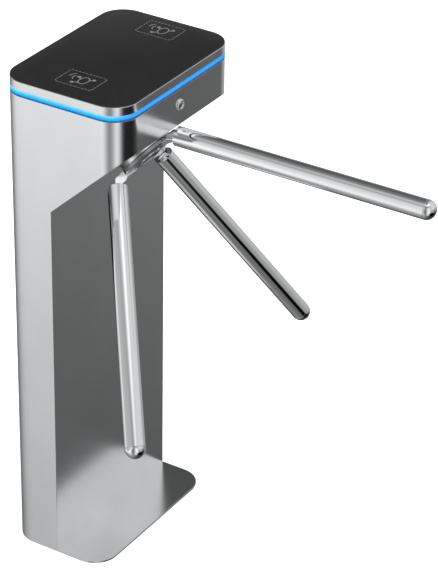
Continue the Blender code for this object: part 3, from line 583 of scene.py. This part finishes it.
def make_shell():
    """The wrapped sheet, cut for the recess, the service panel and the lock."""
    low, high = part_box("base_plate")[1].z, SHELL_HIGH.z
    shell = swept("cabinet_shell", [(0, low), (0, high), (SHEET, high), (SHEET, low)])
    beyond = HEAD_X + PAST_END
    recess = [(COLUMN_X, BELOW_FLOOR), (beyond, BELOW_FLOOR)]
    recess += [(beyond, slant_height(beyond)), (COLUMN_X, ELBOW_HEIGHT)]
    cut(shell, prism("recess_cutter", recess, -PAST_SIDE, PAST_SIDE, ALONG_Y))
    panel_low, panel_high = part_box("rear_service_panel")
    left = panel_low.y + SERVICE_FLANGE - SERVICE_GAP
    right = panel_high.y - SERVICE_FLANGE + SERVICE_GAP
    bottom = panel_low.z + SERVICE_FLANGE - SERVICE_GAP
    top = panel_high.z - SERVICE_FLANGE + SERVICE_GAP
    opening = [(left, bottom), (right, bottom), (right, top), (left, top)]
    cut(shell, prism("service_cutter", opening, REAR_X - 0.01, REAR_X + 0.01, ALONG_X))
    cut(shell, prism("lock_cutter", circle(LOCK_HOLE, 40), -0.02, 0.02, joint_frame("lock_turn")))
    finish_piece(soften(shell, 0.0003), "cabinet", "brushed_steel", ["housing_shell"])


def make_recess_sheet():
    """The bent sheet inside the recess: upright behind the arms, then leaning out under the head."""
    bend = 0.004
    inner = COLUMN_X - SHEET
    lean = np.arctan(SLOPE)
    sheet_up = SHEET / cos(lean)
    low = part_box("base_plate")[1].z
    far = HEAD_X + 0.01
    bend_end = COLUMN_X + bend / 3
    points = [(COLUMN_X, low), (COLUMN_X, ELBOW_HEIGHT - bend / 2), (bend_end, slant_height(bend_end))]
    points += [(far, slant_height(far)), (far, slant_height(far) + sheet_up)]
    points += [(inner, slant_height(inner) + sheet_up), (inner, low)]
    reach = 0.25
    sheet = prism("recess_sheet", points, -reach, reach, ALONG_Y)
    cut(sheet, slab("shell_inside", [(SHEET, BELOW_FLOOR), (SHEET, ABOVE_TOP)]), "INTERSECT")
    _, _, _, collar_top = round_extent("hub_collar", TRIPOD)
    cut(sheet, prism("shaft_cutter", circle(SHAFT_HOLE, 60), -0.04, collar_top, TRIPOD))
    finish_piece(sheet, "cabinet", "brushed_steel", ["recess_panel"])


def make_base():
    """The floor plate with its eased top edge, four bolt holes and the cable's hole."""
    low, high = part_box("base_plate")
    edge = 0.0006
    shoulder = edge * 0.3
    rings = [(0, low.z), (0, high.z - edge), (shoulder, high.z - shoulder), (edge, high.z)]
    plate = slab("base_sheet", rings, far_x=high.x)
    through = (-0.01, 0.02)
    for number in range(1, 5):
        place = upright(*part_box(f"anchor_bolt_{number}"))
        cut(plate, prism("bolt_cutter", circle(BOLT_HOLE, 24), *through, place))
    place = upright(*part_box("cable_grommet"))
    cut(plate, prism("cable_cutter", circle(CABLE_HOLE, 48), *through, place))
    finish_piece(soften(plate, 0.0002, 1), "cabinet", "brushed_steel", ["base_plate"])


def make_light_strip():
    """The diffuser bulges a little between the shell and the lid, round the front and the head's end."""
    low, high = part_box("led_strip")
    depth = 0.004
    first = CORNER_STEPS * 3 // 8
    last = CORNER_STEPS - first - 5
    inset = 0.0003
    half_proud = -0.0002
    proud = -0.0005
    bulge = [(inset, low.z), (half_proud, low.z + 0.0020), (proud, (low.z + high.z) / 2)]
    bulge += [(half_proud, high.z - 0.0012), (inset, high.z), (depth, high.z), (depth, low.z)]
    data = bmesh.new()
    layer = data.verts.layers.float.new("along")
    rows = []
    for drawn_in, height in bulge:
        right_front, right_rear, _, left_front = corners(drawn_in)
        run = left_front[first:] + right_front + right_rear[:last]
        steps = [0.0]
        for a, b in zip(run, run[1:]):
            steps.append(steps[-1] + ((b[0] - a[0]) ** 2 + (b[1] - a[1]) ** 2) ** 0.5)
        row = []
        for (x, y), step in zip(run, steps):
            vertex = data.verts.new((x, y, height))
            vertex[layer] = step / steps[-1]
            row.append(vertex)
        rows.append(row)
    bridge_rows(data, rows, closed=False)
    data.faces.new([row[0] for row in rows])
    data.faces.new([row[-1] for row in rows])
    diffuser = new_piece("light_diffuser", data, sharp=50)
    diffuser.visible_glossy = False
    finish_piece(diffuser, "cabinet", "light_strip", ["led_strip"])


def make_service_panel():
    """The flush rear panel with its eased corners, and six countersunk socket screws."""
    low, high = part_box("rear_service_panel")
    half = high.y - SERVICE_FLANGE
    middle = (low.z + high.z) / 2
    rise = high.z - SERVICE_FLANGE - middle
    back = low.x + SERVICE_PLATE
    corner = 0.003
    plate = prism("service_plate", rounded_rectangle(half, rise, corner), low.x, back, ALONG_X)
    plate.data.transform(Matrix.Translation((0, 0, middle)))
    cut(plate, box_piece("service_flange", (back, low.y, low.z), high), "UNION")

    screw_y = half - 0.008
    screw_rise = rise - 0.010
    outwards = Matrix.Rotation(-pi / 2, 4, "Y")
    places = []
    for side in (-1, 1):
        for share in (-1, 0, 1):
            at = (low.x, side * screw_y, middle + share * screw_rise)
            places.append(Matrix.Translation(at) @ outwards)
    sink = [(0, -0.0022), (0.0022, -0.0022), (0.0044, 0), (0.0044, 0.0020), (0, 0.0020)]
    for place in places:
        cut(plate, turned("sink", sink, place))
    finish_piece(soften(plate, 0.0003), "cabinet", "brushed_steel", ["rear_service_panel"])

    head = [(0, -0.0020), (0.0019, -0.0020), (0.0040, -0.0002), (0.0039, 0), (0, 0)]
    for number, place in enumerate(places, 1):
        screw = turned(f"service_screw_{number}", head, place, steps=40)
        cut(screw, prism("socket_cutter", circle(0.0016, 6), -0.0014, 0.001, place))
        finish_piece(screw, "cabinet", "zinc_plate")


# Tripod -------------------------------------------------------------------------------------------
def make_hub():
    """A satin disc with polished bevels on its rim and a fine groove, the domed cap, and the collar."""
    points = local(points_of("hub_disc"), TRIPOD)
    bore, rim, sleeve_low, high = round_extent("hub_disc", TRIPOD)
    low = points[np.hypot(points[:, 0], points[:, 1]) > 0.8 * rim][:, 2].min()
    edge = 0.0011
    groove = 0.0004
    outer_side = rim - 0.012
    inner_side = rim - 0.013
    profile = [(bore, sleeve_low), (HUB_SLEEVE, sleeve_low), (HUB_SLEEVE, low), (rim - edge, low)]
    profile += [(rim, low + edge), (rim, high - edge), (rim - edge, high), (outer_side, high)]
    profile += [(outer_side - groove, high - groove), (inner_side, high - groove)]
    profile += [(inner_side - groove, high), (bore, high)]
    disc = turned("hub_disc_polished", profile, TRIPOD, steps=112, closed=True, sharp=25)
    finish_piece(disc, "tripod", "chrome", ["hub_disc"])
    disc.data.materials.clear()
    disc.data.materials.append(MATERIALS["satin"])
    disc.data.materials.append(MATERIALS["chrome"])
    for face in disc.data.polygons:
        radius = np.hypot(*local(np.array([face.center]), TRIPOD)[0][:2])
        face.material_index = int(rim - edge < radius < rim - edge * 0.2)

    _, radius, low, high = round_extent("hub_cap", TRIPOD)
    lip = 0.0003
    wall = 0.0012
    rise = high - low - wall
    dome = [(0.0, low), (radius - lip, low), (radius, low + lip), (radius, low + wall)]
    dome += [(radius * cos(a), low + wall + rise * sin(a)) for a in np.linspace(0.08, pi / 2 - 0.05, 14)]
    dome.append((0.0, high))
    finish_piece(turned("hub_cap_polished", dome, TRIPOD, sharp=25), "tripod", "chrome", ["hub_cap"])
    finish_piece(copy_of("hub_collar", 0.0005), "cabinet", SLOTS["hub_collar"], ["hub_collar"])


def make_arm(number):
    """A tube with its rounded end plug, and the cast knuckle that holds it."""
    tube_node, cap_node, knuckle_node = (f"arm_{part}_{number}" for part in ("tube", "cap", "knuckle"))
    place, length = axis_frame(tube_node, HUB_CENTRE)
    inner, outer, _, _ = round_extent(tube_node, place)
    lip = 0.0003
    profile = [(inner, 0), (outer - lip, 0), (outer, lip)]
    profile += [(outer, length - lip), (outer - lip, length), (inner, length)]
    tube = turned(f"arm_{number}_tube", profile, place, closed=True, sharp=25)
    finish_piece(tube, "tripod", "chrome", [tube_node])

    _, radius, low, high = round_extent(cap_node, place)
    start = high - radius
    plug = inner - lip
    cap = [(0.0, low), (plug, low), (plug, start), (radius - lip, start), (radius, start + lip)]
    cap += [(radius * cos(a), start + radius * sin(a)) for a in np.linspace(0.06, pi / 2 - 0.06, 20)]
    cap.append((0.0, high))
    finish_piece(turned(f"arm_{number}_end", cap, place, sharp=25), "tripod", "chrome", [cap_node])

    knuckle = copy_of(knuckle_node, 0.0009, 3)
    finish_piece(knuckle, "tripod", "chrome", [knuckle_node])


# Lid and lock -------------------------------------------------------------------------------------
def make_lid():
    """The steel skirt with its inward flange, and the black glass that lies on it."""
    low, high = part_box("lid_frame")
    ease = 0.0002
    step = 0.0006
    shelf = high.z - SKIRT_WALL
    profile = [(ease, low.z), (0, low.z + ease), (0, high.z - step), (step, high.z)]
    profile += [(SKIRT_FLANGE, high.z), (SKIRT_FLANGE, shelf), (SKIRT_WALL, shelf), (SKIRT_WALL, low.z)]
    skirt = swept("lid_skirt", profile, sharp=40)
    finish_piece(soften(skirt, ease), "lid", "brushed_steel", ["lid_frame"])

    low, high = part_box("top_panel")
    edge = 0.0013
    inset = 0.0004
    rings = [(inset + ease, low.z), (inset, low.z + ease)]
    for angle in np.linspace(0, pi / 2, 7):
        rings.append((inset + edge * (1 - cos(angle)), high.z - edge * (1 - sin(angle))))
    glass = slab("lid_glass", rings, sharp=60)
    finish_piece(glass, "lid", "black_glass", ["top_panel"])


def ribbon(data, points, width, low, high, closed=False):
    """A thin flat line of print through points, as a closed solid."""
    count = len(points)
    rows = []
    for k, point in enumerate(points):
        before = points[k - 1] if k or closed else point
        after = points[(k + 1) % count] if k < count - 1 or closed else point
        along = Vector((after[0] - before[0], after[1] - before[1])).normalized()
        side = Vector((-along.y, along.x)) * width / 2
        a = Vector(point) + side
        b = Vector(point) - side
        ring = ((a.x, a.y, low), (b.x, b.y, low), (b.x, b.y, high), (a.x, a.y, high))
        rows.append([data.verts.new(place) for place in ring])
    bridge_rows(data, rows, around=closed)
    if not closed:
        data.faces.new(rows[0])
        data.faces.new(rows[-1])


def dashes(points, dash, space):
    """Cuts a closed line of points into dashes."""
    walked = [0.0]
    loop = points + [points[0]]
    for a, b in zip(loop, loop[1:]):
        walked.append(walked[-1] + (Vector(b) - Vector(a)).length)
    whole = walked[-1]
    count = round(whole / (dash + space))
    pitch = whole / count
    share = dash / (dash + space)
    xs = [point[0] for point in loop]
    ys = [point[1] for point in loop]
    found = []
    for k in range(count):
        at = np.linspace(k * pitch, (k + share) * pitch, 4)
        found.append([(float(np.interp(w, walked, xs)), float(np.interp(w, walked, ys))) for w in at])
    return found


def make_reader_mark(number):
    """A dashed frame with a generic oval, three dots on stems, and two waves, over a card reader."""
    low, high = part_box(f"card_reader_{number}")
    middle = (low + high) / 2
    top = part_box("top_panel")[1].z
    sunk = 0.00010
    proud = 0.00004
    span = (top - sunk, top + proud)
    frame_line = 0.0014
    thin_line = 0.0019
    stem_line = 0.0022
    dot_line = 0.0030
    frame_half_x = 0.0385
    frame_half_y = 0.0270
    frame_corner = 0.0055
    oval_half_x = 0.0088
    oval_half_y = 0.0132
    oval_x = 0.0058
    wave_centre = (-0.0105, 0.0035)
    waves = ((0.0085, 130, 235), (0.0170, 125, 180))
    dots = (((0.0205, 0.0108), 0.0021), ((-0.0096, 0.0090), 0.0022), ((-0.0092, -0.0150), 0.0021))
    stems = (
        [(0.0148, 0.0050), (0.0186, 0.0090)],
        [(-0.0075, 0.0068), (-0.0030, 0.0040)],
        [(-0.0066, -0.0138), (-0.0002, -0.0108)],
    )
    data = bmesh.new()
    border = rounded_rectangle(frame_half_x, frame_half_y, frame_corner)
    for dash in dashes(border, dash=0.0045, space=0.0029):
        ribbon(data, dash, frame_line, *span)
    turns = np.linspace(0, 2 * pi, 33)[:-1]
    oval = [(oval_x + oval_half_x * cos(a), oval_half_y * sin(a)) for a in turns]
    ribbon(data, oval, thin_line, *span, closed=True)
    for centre, radius in dots:
        ribbon(data, circle(radius, 12, centre), dot_line, *span, closed=True)
    for radius, start, stop in waves:
        ribbon(data, arc(wave_centre, radius, start, stop, 8), thin_line, *span)
    for stem in stems:
        ribbon(data, stem, stem_line, *span)
    towards_front = 0.0025
    place = Matrix.Translation((middle.x, middle.y - towards_front, 0.0))
    mark = new_piece(f"reader_mark_{number}", data, place)
    mark.data.materials.append(MATERIALS["print"])
    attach(mark, "lid")


def make_lock():
    """The barrel with its rounded bezel, and the plug with a domed face and a keyway."""
    place = Matrix.Translation(joint_frame("lock_turn").translation) @ Matrix.Rotation(pi / 2, 4, "Y")
    bore, rim, low, high = round_extent("lock_barrel", place)
    body = 0.008
    edge = 0.0008
    gap = 0.0003
    shoulder = 0.0020
    profile = [(bore, low), (body - edge, low), (body, low + edge), (body, gap), (rim, gap)]
    profile += [(rim, 0.0012), *arc((rim - shoulder, 0.0014), shoulder, 5, 60, 5)]
    profile += [(0.0078, high), (0.0070, high), (0.0062, high - 0.0006), (bore, high - 0.0010)]
    barrel = turned("lock_bezel", profile, place, steps=56, closed=True, sharp=25)
    finish_piece(barrel, "cabinet", "chrome", ["lock_barrel"])

    _, radius, low, high = round_extent("lock_plug", place)
    rise = 0.0012
    face = [(0.0, low), (radius, low), (radius, high - rise - gap)]
    face += [(radius * cos(a), high - rise + rise * sin(a)) for a in np.linspace(0.1, pi / 2 - 0.15, 9)]
    face.append((0.0, high))
    plug = turned("lock_core", face, place, steps=48, sharp=25)
    long = 0.0031
    short = 0.0012
    wide = 0.0006
    thin = 0.0002
    keyway = [(-long, -wide), (long, -wide), (long, thin), (short, thin), (short, wide), (-long, wide)]
    cut(plug, prism("keyway_cutter", keyway, high - 0.0025, high + 0.01, place))
    finish_piece(plug, "lock", "chrome", ["lock_plug"])


# Everything else keeps its CAD shape --------------------------------------------------------------
def dress_nodes():
    """Gives every node that still shows the material of its slot."""
    for name, node in frame["nodes"].items():
        if node.hide_render:
            continue
        kind = SLOTS[name]
        node.data.materials.clear()
        node.data.materials.append(MATERIALS[kind])


# Stage --------------------------------------------------------------------------------------------
def make_stage():
    """A pale round floor that rises into a wall far behind. Polished faces don't reflect it."""
    floor_radius = 11.0
    cove = 3.0
    wall_height = 12.0
    profile = [(0.0, 0.0), (2.0, 0.0), (6.0, 0.0)]
    profile += [(floor_radius + cove * sin(a), cove - cove * cos(a)) for a in np.linspace(0, pi / 2, 9)]
    profile.append((floor_radius + cove, wall_height))
    stage = turned("studio_floor", profile, steps=96)
    made, _, shader = start_material("studio_floor", 0.0, 0.9, (0.8, 0.8, 0.8))
    shader.inputs["Specular IOR Level"].default_value = 0.0
    shader.inputs["Emission Color"].default_value = (1.0, 1.0, 1.0, 1.0)
    shader.inputs["Emission Strength"].default_value = 0.62
    stage.data.materials.append(made)
    stage.visible_glossy = False
    stage.visible_shadow = False


def make_studio():
    """The soft surroundings that light the object and show in its polished faces."""
    world = bpy.data.worlds.new("studio")
    world.use_nodes = True
    scene.world = world
    tree = world.node_tree
    direction = add(tree, "SeparateXYZ", {0: add(tree, "TexCoord").outputs["Generated"]}).outputs
    turned_about = maths(tree, "ARCTAN2", direction["X"], maths(tree, "MULTIPLY", direction["Y"], -1.0))
    azimuth = maths(tree, "DEGREES", turned_about)
    elevation = maths(tree, "DEGREES", maths(tree, "ARCSINE", direction["Z"]))
    level = STUDIO_LEVEL
    for at, up, half_width, half_height, softness, strength in STUDIO_PANELS:
        sideways = maths(tree, "WRAP", maths(tree, "SUBTRACT", azimuth, at), 180.0, -180.0)
        upwards = maths(tree, "SUBTRACT", elevation, up)
        shares = []
        for distance, half in ((sideways, half_width), (upwards, half_height)):
            share = maths(tree, "DIVIDE", maths(tree, "ABSOLUTE", distance), half)
            inputs = {"Value": share, "From Min": 1 - softness, "From Max": 1 + softness}
            inputs.update({"To Min": 1.0, "To Max": 0.0})
            shares.append(add(tree, "MapRange", inputs, interpolation_type="SMOOTHSTEP").outputs[0])
        weight = maths(tree, "MULTIPLY", *shares)
        level = add(tree, "Mix", {0: weight, 2: level, 3: strength}, data_type="FLOAT").outputs[0]
    tree.links.new(level, tree.nodes["Background"].inputs["Strength"])
    tree.nodes["Background"].inputs["Color"].default_value = (0.985, 0.995, 1.0, 1.0)


def area_light(name, place, aim, size, power):
    """A square softbox that polished faces don't reflect."""
    data = bpy.data.lights.new(name, "AREA")
    data.size = size
    data.energy = power
    light = bpy.data.objects.new(name, data)
    scene.collection.objects.link(light)
    light.location = place
    light.rotation_euler = (Vector(aim) - Vector(place)).to_track_quat("-Z", "Y").to_euler()
    light.visible_glossy = False
    return light


def make_lights():
    """Soft light for what isn't polished."""
    area_light("overhead_softbox", (0.3, -0.6, 3.4), (0.1, 0.0, 0.0), 3.2, 70)
    area_light("side_softbox", (-2.6, -2.2, 2.4), (0.0, 0.0, 0.5), 2.0, 18)


def make_camera():
    """A long lens that looks down on the front and the head's end."""
    data = bpy.data.cameras.new("camera")
    data.lens = CAMERA_LENS
    camera = bpy.data.objects.new("camera", data)
    scene.collection.objects.link(camera)
    camera.location = CAMERA_PLACE
    camera.rotation_euler = [radians(angle) for angle in CAMERA_TURN]
    scene.camera = camera


# Build --------------------------------------------------------------------------------------------
scene.view_settings.view_transform = "Standard"
MATERIALS = make_materials()
make_camera()
make_stage()
make_studio()
make_lights()
make_shell()
make_recess_sheet()
make_base()
make_light_strip()
make_service_panel()
make_hub()
for arm_number in (1, 2, 3):
    make_arm(arm_number)
make_lid()
for reader_number in (1, 2):
    make_reader_mark(reader_number)
make_lock()
dress_nodes()
